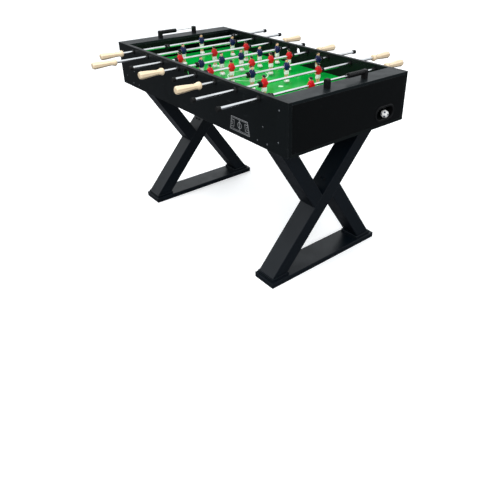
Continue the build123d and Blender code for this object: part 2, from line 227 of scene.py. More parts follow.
def wearAndSheenGroup():
    """Edge rub, handling marks, fine texture and hairline scratches. On the black laminates the edge mask
    also places a painted highlight along the rounded edges.
    """
    inputs = (("Place", "vector", None), ("Edge Radius", "value", 0.002), ("Scale", "value", 1.0))
    outputs = (("Edge", "value"), ("Smudge", "value"), ("Fine", "value"), ("Scratch", "value"))
    group, given, made = newGroup("wearAndSheen", inputs, outputs)
    place = addNode(group, "VectorMath", {0: given["Place"], "Scale": given["Scale"]},
                    operation="SCALE").outputs[0]
    rounded = addNode(group, "Bevel", {"Radius": given["Edge Radius"]}, samples=6).outputs[0]
    flat = addNode(group, "NewGeometry").outputs["Normal"]
    same = addNode(group, "VectorMath", {0: rounded, 1: flat}, operation="DOT_PRODUCT")
    turned = remap(group, same.outputs["Value"], 0.995, 0.90, smooth=True)
    patchy = remap(group, noise(group, place, 38.0, 4.0, 0.65), 0.38, 0.62)
    group.links.new(calc(group, "MULTIPLY", turned, patchy), made["Edge"])
    smudge = noise(group, place, 7.0, 5.0, 0.6, 0.4)
    group.links.new(remap(group, smudge, 0.35, 0.68, smooth=True), made["Smudge"])
    group.links.new(noise(group, place, 900.0, 2.0), made["Fine"])
    streaks = noise(group, scaled(group, place, (11.0, 260.0, 70.0)), 1.6, 2.0, 0.5, 0.6)
    group.links.new(remap(group, streaks, 0.70, 0.74), made["Scratch"])
    return group


def grainGroup():
    """Wood figure along one axis: broad bands, fine fibres and dark pores."""
    inputs = (("Place", "vector", None), ("Stretch", "vector", (1.0, 0.05, 1.0)))
    outputs = (("Bands", "value"), ("Fibres", "value"), ("Pores", "value"))
    group, given, made = newGroup("grain", inputs, outputs)
    along = addNode(group, "VectorMath", {0: given["Place"], 1: given["Stretch"]},
                    operation="MULTIPLY").outputs[0]
    bend = noise(group, along, 9.0, 3.0, 0.5)
    rings = calc(group, "SINE", calc(group, "MULTIPLY", bend, 46.0))
    group.links.new(remap(group, rings, -1.0, 1.0), made["Bands"])
    group.links.new(noise(group, along, 520.0, 4.0, 0.6), made["Fibres"])
    pores = noise(group, along, 1150.0, 2.0, 0.5)
    group.links.new(remap(group, pores, 0.64, 0.72), made["Pores"])
    return group


wearAndSheen = wearAndSheenGroup()
grain = grainGroup()


# Finishes

# colour, colour where rubbed (on the black laminates raised well above the board's black: a painted highlight
# along the rounded edges as well as wear), roughness low and high, and what else the finish has
finishes = {
    # side panels: the rub colour here is also a painted highlight along the rounded edges
    "laminate": {"colour": (0.0030, 0.0042, 0.0046, 1), "rubAndSheen": (0.050, 0.056, 0.060, 1),
                 "rough": (0.34, 0.44), "specular": 0.17, "edge": 0.0016, "bump": 0.08,
                 "grain": 0.35, "stretch": (0.06, 1.0, 1.0)},
    # end panels and goal walls: the same black laminate as the side panels, painted darker with a darker edge
    # colour, painted shade on these faces
    "shadedEndLaminate": {"colour": (0.0015, 0.0018, 0.0019, 1), "rubAndSheen": (0.040, 0.045, 0.048, 1),
                    "rough": (0.34, 0.44), "specular": 0.17, "edge": 0.0016, "bump": 0.08,
                    "grain": 0.35, "stretch": (1.0, 0.06, 1.0)},
    # end top plates: the same black laminate, painted lighter and bluer with a brighter edge colour, a
    # painted reflection of the bright sky on these upward faces
    "litTopPlate": {"colour": (0.0040, 0.0062, 0.0072, 1), "rubAndSheen": (0.075, 0.082, 0.088, 1),
                 "rough": (0.34, 0.44), "specular": 0.22, "edge": 0.0016, "bump": 0.08,
                 "grain": 0.35, "stretch": (1.0, 0.06, 1.0)},
    "innerBoard": {"colour": (0.0040, 0.0060, 0.0060, 1), "rubAndSheen": (0.018, 0.02, 0.02, 1),
                   "rough": (0.42, 0.58), "specular": 0.16, "edge": 0.0016, "bump": 0.12,
                   "grain": 0.25, "stretch": (1.0, 0.06, 1.0)},
    "legPaint": {"colour": (0.0015, 0.0034, 0.0058, 1), "rubAndSheen": (0.018, 0.022, 0.026, 1),
                 "rough": (0.32, 0.44), "specular": 0.36, "edge": 0.0022, "bump": 0.12,
                 "grain": 0.40, "stretch": (1.0, 0.10, 0.10)},
    "blackPlastic": {"colour": (0.0035, 0.0036, 0.0040, 1), "rubAndSheen": (0.03, 0.03, 0.032, 1),
                     "rough": (0.34, 0.50), "specular": 0.26, "edge": 0.0008, "bump": 0.20},
    "blackRubber": {"colour": (0.0070, 0.0070, 0.0072, 1), "rubAndSheen": (0.022, 0.021, 0.021, 1),
                    "rough": (0.58, 0.78), "specular": 0.25, "edge": 0.0010, "bump": 0.35},
    "zincSteel": {"colour": (0.52, 0.53, 0.55, 1), "rubAndSheen": (0.75, 0.75, 0.77, 1),
                  "rough": (0.22, 0.42), "specular": 0.5, "edge": 0.0005, "bump": 0.10, "metal": 1.0},
    "screwSteel": {"colour": (0.36, 0.37, 0.39, 1), "rubAndSheen": (0.60, 0.60, 0.62, 1),
                  "rough": (0.26, 0.46), "specular": 0.4, "edge": 0.0005, "bump": 0.12, "metal": 1.0},
    "chrome": {"colour": (0.94, 0.95, 0.96, 1), "rubAndSheen": (0.94, 0.94, 0.95, 1),
               "rough": (0.16, 0.28), "specular": 0.5, "edge": 0.0005, "bump": 0.02, "metal": 1.0},
    "redShirt": {"colour": (0.56, 0.006, 0.010, 1), "rubAndSheen": (0.66, 0.08, 0.07, 1),
                 "rough": (0.26, 0.44), "specular": 0.35, "edge": 0.0007, "bump": 0.08},
    "redTrim": {"colour": (0.30, 0.008, 0.010, 1), "rubAndSheen": (0.55, 0.08, 0.07, 1),
                "rough": (0.28, 0.44), "specular": 0.5, "edge": 0.0007, "bump": 0.08},
    "navyShirt": {"colour": (0.0050, 0.0080, 0.062, 1), "rubAndSheen": (0.04, 0.05, 0.14, 1),
                  "rough": (0.26, 0.44), "specular": 0.32, "edge": 0.0007, "bump": 0.08},
    "whitePaint": {"colour": (0.88, 0.87, 0.84, 1), "rubAndSheen": (0.60, 0.56, 0.50, 1),
                   "rough": (0.30, 0.50), "specular": 0.5, "edge": 0.0007, "bump": 0.08},
    "skinPaint": {"colour": (0.76, 0.46, 0.27, 1), "rubAndSheen": (0.66, 0.42, 0.26, 1),
                  "rough": (0.32, 0.50), "specular": 0.4, "edge": 0.0007, "bump": 0.06},
    "hairPaint": {"colour": (0.008, 0.007, 0.006, 1), "rubAndSheen": (0.05, 0.04, 0.035, 1),
                  "rough": (0.36, 0.55), "specular": 0.5, "edge": 0.0007, "bump": 0.25},
    "lipPaint": {"colour": (0.42, 0.13, 0.09, 1), "rubAndSheen": (0.5, 0.2, 0.15, 1),
                 "rough": (0.35, 0.50), "specular": 0.5, "edge": 0.0005, "bump": 0.05},
    "blackedSteel": {"colour": (0.030, 0.031, 0.034, 1), "rubAndSheen": (0.12, 0.12, 0.125, 1),
                     "rough": (0.32, 0.50), "specular": 0.4, "edge": 0.0005, "bump": 0.12, "metal": 1.0},
    "silverPrint": {"colour": (0.40, 0.41, 0.42, 1), "rubAndSheen": (0.22, 0.22, 0.23, 1),
                    "rough": (0.30, 0.48), "specular": 0.5, "edge": 0.0004, "bump": 0.05,
                    "metal": 0.0},
}


def paintFinish(name, values):
    """Colour with patchy edge rub, smudged roughness and a fine moulded or brushed relief. On the black
    laminates the edge colour is also a painted highlight.
    """
    constants = {"Specular IOR Level": values["specular"], "Metallic": values.get("metal", 0.0)}
    material, tree, shader = newMaterial(name, constants)
    place = objectPlace(tree)
    marks = placeGroup(tree, wearAndSheen, {"Place": place, "Edge Radius": values["edge"]})
    deep = [c * 0.72 for c in values["colour"][:3]] + [1]
    base = mixColour(tree, marks["Smudge"], values["colour"], deep)
    height = marks["Fine"]
    if "grain" in values:
        wood = placeGroup(tree, grain, {"Place": place, "Stretch": values["stretch"]})
        lighter = [c * 1.7 for c in values["colour"][:3]] + [1]
        share = calc(tree, "MULTIPLY", wood["Fibres"], values["grain"])
        base = mixColour(tree, share, base, lighter)
        height = calc(tree, "ADD", height, wood["Fibres"])
    # edges and scratches take the rub colour: wear, and on the black laminates also a painted edge highlight
    wornAndSheen = calc(tree, "MAXIMUM", marks["Edge"], calc(tree, "MULTIPLY", marks["Scratch"], 0.35))
    colour = mixColour(tree, wornAndSheen, base, values["rubAndSheen"])
    tree.links.new(colour, shader.inputs["Base Color"])
    low, high = values["rough"]
    rough = remap(tree, marks["Smudge"], 0.0, 1.0, low, high)
    rough = calc(tree, "ADD", rough, calc(tree, "MULTIPLY", marks["Scratch"], 0.12))
    tree.links.new(rough, shader.inputs["Roughness"])
    tree.links.new(bump(tree, height, values["bump"], 0.0004), shader.inputs["Normal"])
    return material


handleWood = {
    "pale": (0.84, 0.69, 0.48, 1), "warm": (0.69, 0.51, 0.32, 1), "pore": (0.42, 0.29, 0.16, 1),
    "stretch": (1.0, 0.045, 1.0), "soil": (0.50, 0.38, 0.25, 1),
}


def woodFinish():
    """Clear varnish over pale turned wood whose fibres run along the handle."""
    constants = {"Specular IOR Level": 0.5, "Coat Weight": 0.25, "Coat Roughness": 0.22}
    material, tree, shader = newMaterial("handleWood", constants)
    place = objectPlace(tree)
    wood = placeGroup(tree, grain, {"Place": place, "Stretch": handleWood["stretch"]})
    marks = placeGroup(tree, wearAndSheen, {"Place": place, "Edge Radius": 0.0012})
    bands = calc(tree, "MULTIPLY", wood["Bands"], 0.38)
    base = mixColour(tree, bands, handleWood["pale"], handleWood["warm"])
    fibres = remap(tree, wood["Fibres"], 0.45, 0.75, 0.0, 0.45)
    base = mixColour(tree, fibres, base, handleWood["warm"])
    base = mixColour(tree, calc(tree, "MULTIPLY", wood["Pores"], 0.55), base, handleWood["pore"])
    soil = calc(tree, "MULTIPLY", marks["Smudge"], 0.16)
    base = mixColour(tree, soil, base, handleWood["soil"])
    tree.links.new(base, shader.inputs["Base Color"])
    tree.links.new(remap(tree, marks["Smudge"], 0, 1, 0.34, 0.50), shader.inputs["Roughness"])
    relief = calc(tree, "SUBTRACT", wood["Fibres"], wood["Pores"])
    tree.links.new(bump(tree, relief, 0.25, 0.0003), shader.inputs["Normal"])
    return material


pitch = {
    "green": (0.001, 0.350, 0.040, 1), "deepGreen": (0.001, 0.262, 0.034, 1),
    "line": (0.62, 0.82, 0.62, 1), "lineWidth": 3.6 * mm, "circle": 100.0 * mm,
    "polish": (-0.55, 0.05),   # along the length, from still glossy to played dull
    "spot": 352.0 * mm, "spotRadius": 12.0 * mm, "bands": 12,
}


def pitchLines(halfLength):
    """Mask of the printed markings: each is where the distance to its outline is small."""
    group, given, made = newGroup("pitchLines", (("Place", "vector", None),), (("Mask", "value"),))
    split = addNode(group, "SeparateXYZ", {0: given["Place"]})
    alongX = calc(group, "ABSOLUTE", split.outputs["X"])
    half = pitch["lineWidth"] / 2

    def stroke(distance):
        size = calc(group, "ABSOLUTE", distance)
        return remap(group, size, half - 0.4 * mm, half + 0.4 * mm, 1.0, 0.0)

    def ring(x, radius):
        dx = calc(group, "SUBTRACT", alongX, x)
        square = calc(group, "MULTIPLY", split.outputs["Y"], split.outputs["Y"])
        reach = calc(group, "SQRT", calc(group, "ADD", calc(group, "MULTIPLY", dx, dx), square))
        return calc(group, "SUBTRACT", reach, radius)

    marks = [
        stroke(split.outputs["X"]),
        stroke(ring(0.0, pitch["circle"])),
        calc(group, "LESS_THAN", ring(0.0, 0.0), pitch["spotRadius"]),
        calc(group, "LESS_THAN", ring(halfLength - pitch["spot"], 0.0), pitch["spotRadius"]),
    ]
    total = marks[0]
    for mark in marks[1:]:
        total = calc(group, "MAXIMUM", total, mark)
    group.links.new(total, made["Mask"])
    return group


def fieldFinish():
    """Glossy printed sheet: green with faint mown bands, markings, and ball and foot scuffs."""
    constants = {"Specular IOR Level": 0.04, "Coat Roughness": 0.05}
    material, tree, shader = newMaterial("playfieldPrint", constants)
    place = objectPlace(tree)
    low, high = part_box("playfield")
    lines = placeGroup(tree, pitchLines(high.x), {"Place": place})
    marks = placeGroup(tree, wearAndSheen, {"Place": place, "Edge Radius": 0.001})
    split = addNode(tree, "SeparateXYZ", {0: place})
    turns = pitch["bands"] * math.pi / (2 * high.x)
    stripe = calc(tree, "SINE", calc(tree, "MULTIPLY", split.outputs["X"], turns))
    band = remap(tree, stripe, -0.15, 0.15, 0.0, 0.5, smooth=True)
    base = mixColour(tree, band, pitch["green"], pitch["deepGreen"])
    blades = remap(tree, noise(tree, place, 420.0, 3.0, 0.7), 0.35, 0.7, 0.0, 0.35)
    base = mixColour(tree, blades, base, pitch["deepGreen"])
    faded = remap(tree, noise(tree, place, 160.0, 4.0, 0.7), 0.25, 0.5, 0.78, 1.0)
    base = mixColour(tree, calc(tree, "MULTIPLY", lines["Mask"], faded), base, pitch["line"])
    tree.links.new(base, shader.inputs["Base Color"])
    rough = remap(tree, marks["Smudge"], 0, 1, 0.12, 0.20)
    rough = calc(tree, "ADD", rough, calc(tree, "MULTIPLY", marks["Scratch"], 0.10))
    tree.links.new(rough, shader.inputs["Roughness"])
    polish = remap(tree, split.outputs["X"], pitch["polish"][0], pitch["polish"][1], 0.34, 0.0, smooth=True)
    tree.links.new(polish, shader.inputs["Coat Weight"])
    relief = calc(tree, "ADD", calc(tree, "MULTIPLY", marks["Fine"], 0.3), lines["Mask"])
    tree.links.new(bump(tree, relief, 0.06, 0.0002), shader.inputs["Normal"])
    return material


def ballFinish():
    """White panels and dark pentagons, told apart by the patch attribute on the mesh."""
    constants = {"Specular IOR Level": 0.5, "Coat Weight": 0.3, "Coat Roughness": 0.1}
    material, tree, shader = newMaterial("ballSkin", constants)
    place = objectPlace(tree)
    patch = addNode(tree, "Attribute", None, attribute_name="patch").outputs["Fac"]
    seam = addNode(tree, "Attribute", None, attribute_name="seam").outputs["Fac"]
    marks = placeGroup(tree, wearAndSheen, {"Place": place, "Edge Radius": 0.0004, "Scale": 6.0})
    white = mixColour(tree, calc(tree, "MULTIPLY", marks["Smudge"], 0.35), (0.86, 0.86, 0.85, 1),
                      (0.62, 0.61, 0.58, 1))
    dark = remap(tree, patch, 0.45, 0.55)
    base = mixColour(tree, dark, white, (0.012, 0.016, 0.05, 1))
    base = mixColour(tree, calc(tree, "MULTIPLY", seam, 0.45), base, (0.25, 0.25, 0.25, 1))
    tree.links.new(base, shader.inputs["Base Color"])
    tree.links.new(remap(tree, marks["Smudge"], 0, 1, 0.25, 0.42), shader.inputs["Roughness"])
    tree.links.new(bump(tree, marks["Fine"], 0.15, 0.0002), shader.inputs["Normal"])
    return material


def floorFinish():
    material, tree, shader = newMaterial("studioFloor", {"Specular IOR Level": 0.2, "Roughness": 0.8})
    cloud = noise(tree, objectPlace(tree), 0.7, 3.0)
    soft = [c * 0.985 for c in studio["floorColour"][:3]] + [1]
    seen = mixColour(tree, cloud, studio["floorColour"], soft)
    # the camera sees the pale floor; every other ray sees the dark floor, painted shade
    direct = addNode(tree, "LightPath").outputs["Is Camera Ray"]
    colour = mixColour(tree, direct, studio["floorPaintedShade"], seen)
    tree.links.new(colour, shader.inputs["Base Color"])
    # glow on the floor the camera sees: painted light that keeps the table's shadow faint
    tree.links.new(seen, shader.inputs["Emission Color"])
    tree.links.new(calc(tree, "MULTIPLY", direct, studio["floorLift"]), shader.inputs["Emission Strength"])
    return material


looks = {name: paintFinish(name, values) for name, values in finishes.items()}
looks["wood"] = woodFinish()
looks["field"] = fieldFinish()
looks["ball"] = ballFinish()
print("finishes:", len(looks))


# Surfaces

def smoothRows(control, rows):
    """Points on the smooth curve through the control rows: on each span a cubic whose slope at
    a control point is half the step between its two neighbours."""
    control = np.asarray(control, float)
    last = len(control) - 1
    t = np.linspace(0, last, rows)
    i = np.minimum(t.astype(int), last - 1)
    f = (t - i)[:, None]
    a, b = control[np.maximum(i - 1, 0)], control[i]
    c, d = control[i + 1], control[np.minimum(i + 2, last)]
    bend = (2 * a - 5 * b + 4 * c - d) * f ** 2 + (3 * b - a - 3 * c + d) * f ** 3
    return b + 0.5 * ((c - a) * f + bend)


def gridPart(points, look=0, closed=False):
    """A grid of rows and columns joined into faces. Columns always wrap round. Rows wrap too
    when closed, and otherwise each end row is closed by a fan to its middle."""
    rows, columns = points.shape[:2]
    index = np.arange(rows * columns).reshape(rows, columns)
    if closed:
        index = np.vstack([index, index[:1]])
    nextColumn = np.roll(index, -1, axis=1)
    quads = np.stack([index[:-1], nextColumn[:-1], nextColumn[1:], index[1:]], -1).reshape(-1, 4)
    places = points.reshape(-1, 3)
    faces = quads.tolist()
    if not closed:
        ends = np.stack([points[0].mean(0), points[-1].mean(0)])
        start, finish = len(places), len(places) + 1
        places = np.vstack([places, ends])
        first = np.stack([np.full(columns, start), nextColumn[0], index[0]], -1)
        final = np.stack([np.full(columns, finish), index[-1], nextColumn[-1]], -1)
        faces += first.tolist() + final.tolist()
    return {"places": places, "faces": faces, "look": np.full(len(faces), look)}


def movedParts(parts, shift, turn=0.0):
    """Copies of the parts turned about Z and moved."""
    c, s = math.cos(turn), math.sin(turn)
    spin = np.array(((c, s, 0), (-s, c, 0), (0, 0, 1)))
    return [dict(part, places=part["places"] @ spin + np.asarray(shift, float)) for part in parts]


def makePiece(name, parts, materials, body, replaced=(), sharp=32.0):
    """One object from parts in millimetres, with normals outward and sharp edges by angle."""
    faces, start = [], 0
    for part in parts:
        faces += [[v + start for v in face] for face in part["faces"]]
        start += len(part["places"])
    mesh = bpy.data.meshes.new(name)
    mesh.from_pydata((np.concatenate([p["places"] for p in parts]) * mm).tolist(), [], faces)
    mesh.polygons.foreach_set("material_index", np.concatenate([p["look"] for p in parts]).astype(np.int32))
    for material in materials:
        mesh.materials.append(material)
    work = bmesh.new()
    work.from_mesh(mesh)
    bmesh.ops.recalc_face_normals(work, faces=work.faces)
    work.to_mesh(mesh)
    work.free()
    mesh.shade_smooth()
    mesh.set_sharp_from_angle(angle=math.radians(sharp))
    piece = bpy.data.objects.new(name, mesh)
    bpy.context.scene.collection.objects.link(piece)
    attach(piece, body)
    if replaced:
        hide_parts(*replaced)
    return piece


def alongRod(node):
    """Middle of a node in x and z and its two ends in y, in millimetres."""
    low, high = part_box(node)
    return (low.x + high.x) / 2 / mm, (low.z + high.z) / 2 / mm, low.y / mm, high.y / mm


def roundCorners(outline, radius, steps=4):
    """Each inner corner of an open outline becomes a short curve between points that lie the
    radius back along its two sides."""
    outline = np.asarray(outline, float)
    made = [outline[0]]
    t = np.linspace(0, 1, steps)[:, None]
    for before, corner, after in zip(outline[:-2], outline[1:-1], outline[2:]):
        back, on = before - corner, after - corner
        lengthBack, lengthOn = np.linalg.norm(back), np.linalg.norm(on)
        cut = min(radius, 0.45 * lengthBack, 0.45 * lengthOn)
        a, b = corner + back / lengthBack * cut, corner + on / lengthOn * cut
        made += list((1 - t) ** 2 * a + 2 * t * (1 - t) * corner + t ** 2 * b)
    return np.array(made + [outline[-1]])


def roundLoop(outline, radius, steps=4):
    """The same on a closed outline."""
    outline = list(outline)
    return roundCorners([outline[-1]] + outline + [outline[0]], radius, steps)[1:-1]


def latheAcross(profile, centre, columns=48, look=0, closed=True, side=1, facets=0, facetRows=None):
    """Turned shape about an axis along Y: the profile gives distance along the axis and radius.
    Where facetRows is 1 the section is a regular polygon instead of a circle: its radius is
    divided by the cosine of the angle from the nearest flat's middle."""
    profile = np.asarray(profile, float)
    angle = np.linspace(0, 2 * np.pi, columns, endpoint=False)
    radius = profile[:, 1][:, None] * np.ones(columns)
    if facets:
        share = np.ones(len(profile)) if facetRows is None else facetRows
        part = 2 * np.pi / facets
        fromFlat = (angle + part / 2) % part - part / 2
        flat = math.cos(part / 2) / np.cos(fromFlat)
        radius = radius * (1 + share[:, None] * (flat - 1))
    along = centre[1] + side * profile[:, 0][:, None] * np.ones(columns)
    points = np.stack([centre[0] + radius * np.cos(angle), along, centre[2] + radius * np.sin(angle)], -1)
    return gridPart(points, look, closed)


def loftUp(control, rows, columns, power, look=0):
    """Upright body: control rows of height, centre x, centre y, half size x and y. Each level is
    a rounded box whose two halves, raised to the power, add up to one."""
    level = smoothRows(control, rows)
    angle = np.linspace(0, 2 * np.pi, columns, endpoint=False)
    c, s = np.cos(angle), np.sin(angle)
    boxC = np.sign(c) * np.abs(c) ** (2 / power)
    boxS = np.sign(s) * np.abs(s) ** (2 / power)
    x = level[:, 1:2] + level[:, 3:4] * boxC
    y = level[:, 2:3] + level[:, 4:5] * boxS
    z = level[:, 0:1] * np.ones(columns)
    return gridPart(np.stack([x, y, z], -1), look)


def tube(control, rows, columns, look=0):
    """Round limb along a smooth path: control rows of x, y, z and radius. Each ring stands square
    to the path's direction."""
    path = smoothRows(control, rows)
    direction = np.gradient(path[:, :3], axis=0)
    direction /= np.linalg.norm(direction, axis=1)[:, None]
    sideways = np.cross(direction, (1.0, 0.0, 0.0))
    sideways /= np.linalg.norm(sideways, axis=1)[:, None]
    other = np.cross(direction, sideways)
    angle = np.linspace(0, 2 * np.pi, columns, endpoint=False)
    ring = np.cos(angle)[None, :, None] * sideways[:, None] + np.sin(angle)[None, :, None] * other[:, None]
    return gridPart(path[:, None, :3] + path[:, None, 3:4] * ring, look)


def globe(centre, radii, rows, columns, look=0, swell=None):
    """Ball or egg: directions by latitude and longitude, times the radii, times one plus the swell
    that a function gives for each direction."""
    latitude = np.linspace(-np.pi / 2, np.pi / 2, rows + 2)[1:-1, None]
    longitude = np.linspace(0, 2 * np.pi, columns, endpoint=False)[None, :]
    way = np.stack([np.cos(latitude) * np.cos(longitude), np.cos(latitude) * np.sin(longitude),
                    np.sin(latitude) * np.ones(columns)], -1)
    size = 1.0 if swell is None else (1.0 + swell(way))[..., None]
    return gridPart(np.asarray(centre) + way * np.asarray(radii) * size, look)


def hill(way, direction, width):
    """One where the direction is met, falling to nothing over the width."""
    direction = np.asarray(direction, float) / np.linalg.norm(direction)
    return np.exp(-((1 - way @ direction) / width))


# Players

player = {
    "shirt": 0, "shorts": 1, "skin": 2, "hair": 3, "boot": 4, "trim": 5, "eye": 6, "lip": 7,
    "hubRadius": 10.0, "hubHalf": 15.0, "noseSize": 0.17, "hairSize": 0.05,
}


def faceSwell(way):
    """Nose, brow, cheeks and chin of a plain toy face."""
    nose = player["noseSize"] * hill(way, (1, 0, -0.16), 0.018)
    brow = 0.035 * hill(way, (1, 0, 0.34), 0.05)
    cheeks = 0.03 * (hill(way, (0.8, 0.5, -0.3), 0.05) + hill(way, (0.8, -0.5, -0.3), 0.05))
    chin = 0.06 * hill(way, (0.8, 0, -0.8), 0.05)
    sockets = -0.035 * (hill(way, (1, 0.36, 0.12), 0.02) + hill(way, (1, -0.36, 0.12), 0.02))
    return nose + brow + cheeks + chin + sockets


def hairSwell(way):
    """Proud of the head above a line that rises from nape to forehead, and sunk under it below."""
    above = way[..., 2] - 0.15 - 0.56 * way[..., 0]
    cover = np.clip(above / 0.10 + 0.5, 0, 1)
    locks = 0.012 * np.sin(9 * np.arctan2(way[..., 1], way[..., 0])) * np.clip(way[..., 2] + 0.6, 0, 1)
    return -0.10 + (0.10 + player["hairSize"] + locks) * cover * cover * (3 - 2 * cover)


def playerParts():
    """One player facing +X, millimetres from the rod's axis."""
    p = player
    parts = [
        loftUp([(-69, 2.5, 0, 10.4, 9.8), (-68.6, 2.5, 0, 11.2, 10.7), (-66, 2.5, 0, 11.4, 10.9),
                (-62.5, 2.2, 0, 10.9, 10.7), (-59.5, 0.6, 0, 8.0, 9.9), (-57, -0.5, 0, 6.2, 9.0)],
               20, 36, 4.6, p["boot"]),
        loftUp([(-27, 0, 0, 7.6, 11.2), (-22, 0, 0, 8.4, 12.0), (-15, 0, 0, 8.9, 11.9),
                (-12, 0, 0, 8.8, 11.6)], 10, 40, 2.7, p["shorts"]),
        loftUp([(-15.2, 0.1, 0, 8.6, 11.4), (-15, 0.1, 0, 9.3, 12.0), (-13, 0.1, 0, 9.6, 12.1),
                (-5, 0.3, 0, 11.3, 12.4), (4, 0.5, 0, 11.4, 12.9), (11, 0.5, 0, 9.8, 13.2),
                (15.5, 0.1, 0, 8.2, 12.2), (18.8, 0, 0, 6.6, 9.0), (21.2, 0.1, 0, 5.2, 5.8)],
               34, 44, 2.6, p["shirt"]),
        loftUp([(17.5, 0.1, 0, 5.0, 5.2), (20.5, 0.3, 0, 4.6, 4.7), (24, 0.7, 0, 4.3, 4.4),
                (27, 1.2, 0, 4.4, 4.5)], 9, 22, 2.0, p["skin"]),
        globe((1.7, 0, 27.9), (8.1, 7.2, 8.1), 34, 48, p["skin"], faceSwell),
        globe((1.3, 0, 28.0), (8.1, 7.4, 8.0), 34, 48, p["hair"], hairSwell),
    ]
    hub = roundLoop([(-p["hubHalf"], rodBore), (-p["hubHalf"], p["hubRadius"]),
                     (p["hubHalf"], p["hubRadius"]), (p["hubHalf"], rodBore)], 1.2)
    parts.append(latheAcross(hub, (0, 0, 0), 48, p["shirt"]))
    around = np.linspace(0, 2 * np.pi, 28, endpoint=False)
    across = np.linspace(0, 2 * np.pi, 8, endpoint=False)
    reach = 5.4 + 1.0 * np.cos(across)[None, :] * np.ones(28)[:, None]
    rise = 20.6 - 0.9 * np.cos(around)[:, None] + 1.0 * np.sin(across)[None, :]
    collar = np.stack([0.3 + reach * np.cos(around)[:, None], reach * np.sin(around)[:, None], rise], -1)
    parts.append(gridPart(collar, p["trim"], closed=True))
    for s in (-1, 1):
        parts += [
            tube([(-0.6, s * 4.7, -59, 3.9), (-1.0, s * 4.9, -53, 4.7), (-0.6, s * 4.9, -46, 4.6),
                  (0.4, s * 5.0, -42, 4.5), (0.6, s * 5.4, -36, 5.3), (0.5, s * 5.6, -31, 5.5)],
                 18, 22, p["skin"]),
            loftUp([(-33.6, 0.6, s * 5.9, 6.8, 5.4), (-33.4, 0.6, s * 5.9, 7.6, 6.2),
                    (-31, 0.5, s * 5.9, 7.8, 6.3), (-27, 0.2, s * 5.6, 8.0, 6.4),
                    (-21, 0, s * 5.2, 8.2, 6.5)], 14, 28, 2.4, p["shorts"]),
            tube([(-0.4, s * 9.6, 16.8, 3.5), (-0.2, s * 11.1, 14.0, 3.7), (0.1, s * 11.4, 9.5, 3.5),
                  (0.3, s * 11.5, 6.5, 3.3)], 12, 20, p["shirt"]),
            tube([(0.15, s * 11.15, 10.6, 3.75), (0.3, s * 11.2, 6.6, 3.65)], 5, 20, p["trim"]),
            tube([(0.4, s * 11.7, -8.5, 3.0), (0.8, s * 12.0, -12.0, 2.8), (1.5, s * 12.1, -15.5, 2.7),
                  (2.2, s * 12.0, -18.2, 2.2), (2.5, s * 11.8, -19.6, 1.2)], 14, 18, p["skin"]),
            globe((1.2, s * 7.2, 27.2), (1.7, 0.9, 2.2), 8, 12, p["skin"]),
            globe((8.9, s * 2.6, 29.0), (0.6, 1.0, 0.85), 8, 12, p["eye"]),
            globe((8.9, s * 2.8, 31.0), (0.6, 1.5, 0.35), 6, 12, p["hair"]),
        ]
    parts.append(globe((8.8, 0, 23.9), (0.6, 1.9, 0.42), 6, 12, p["lip"]))
    return parts


def makePlayers():
    one = playerParts()
    for name, side, count in rods:
        x, z, _, _ = alongRod(name + "_rod")
        _, _, low, high = alongRod(name + "_figures")
        first, last = low + player["hubHalf"], high - player["hubHalf"]
        turn = math.pi if side == 1 else 0.0
        parts = []
        for y in np.linspace(first, last, count) if count > 1 else [(first + last) / 2]:
            parts += movedParts(one, (x, y, z), turn)
        shirt, trim = (("redShirt", "redTrim"), ("navyShirt", "whitePaint"))[side == -1]
        order = (shirt, "whitePaint", "skinPaint", "hairPaint", "whitePaint", trim, "hairPaint", "lipPaint")
        makePiece(name + "_players", parts, [looks[key] for key in order], name + "_rod",
                  [name + "_figures"], 50.0)


# What else is on the rods

handle = {
    "profile": ((0, 12.2), (1.6, 14.0), (4, 15.5), (8, 16.2), (12, 16.0), (16, 14.8), (21, 13.0),
                (27, 12.1), (35, 12.1), (47, 12.8), (62, 14.0), (78, 15.2), (94, 16.2), (105, 16.9),
                (111, 16.95), (115, 16.4), (118.4, 15.0)),
    "length": 120.0, "boreDepth": 66.0, "facetFrom": 14.0, "facetFull": 24.0, "facetEnd": 117.0,
    "pinFromEnd": 36.0,
}


def handleShape(centre, side):
    """Turned handle with eight flats: radius along the axis by a smooth curve, times the flats'
    share, which grows from nothing at the bulb to full at the waist."""
    outer = smoothRows(handle["profile"], 76)
    length = handle["length"]
    end = np.array([(length - 0.4, 13.6), (length, 12.0), (length, 5.0)])
    inner = np.array([(handle["boreDepth"], 3.0), (handle["boreDepth"], rodBore), (0.4, rodBore),
                      (0.0, 9.0), (0.0, 10.6)])
    profile = np.vstack([inner, outer, end])
    grow = np.clip((profile[:, 0] - handle["facetFrom"]) / (handle["facetFull"] - handle["facetFrom"]), 0, 1)
    fade = np.clip((handle["length"] - profile[:, 0]) / (handle["length"] - handle["facetEnd"]), 0, 1)
    share = grow * (0.5 + 0.5 * fade)
    share[:len(inner)] = 0.0
    return latheAcross(profile, centre, 64, 0, False, side, 8, share)


def makeHandles():
    for name, side, count in rods:
        x, z, low, high = alongRod(name + "_handle")
        start = low if side == 1 else high
        piece = makePiece(name + "_grip", [handleShape((x, start, z), side)], [looks["wood"]],
                          name + "_rod", [name + "_handle"], 24.0)
        pin = (x, start + side * handle["pinFromEnd"], z)
        ring = roundLoop([(7.0, 0.5), (7.0, 1.6), (11.4, 2.1), (11.4, 1.0)], 0.2, 2)
        makePin(name, pin, ring)


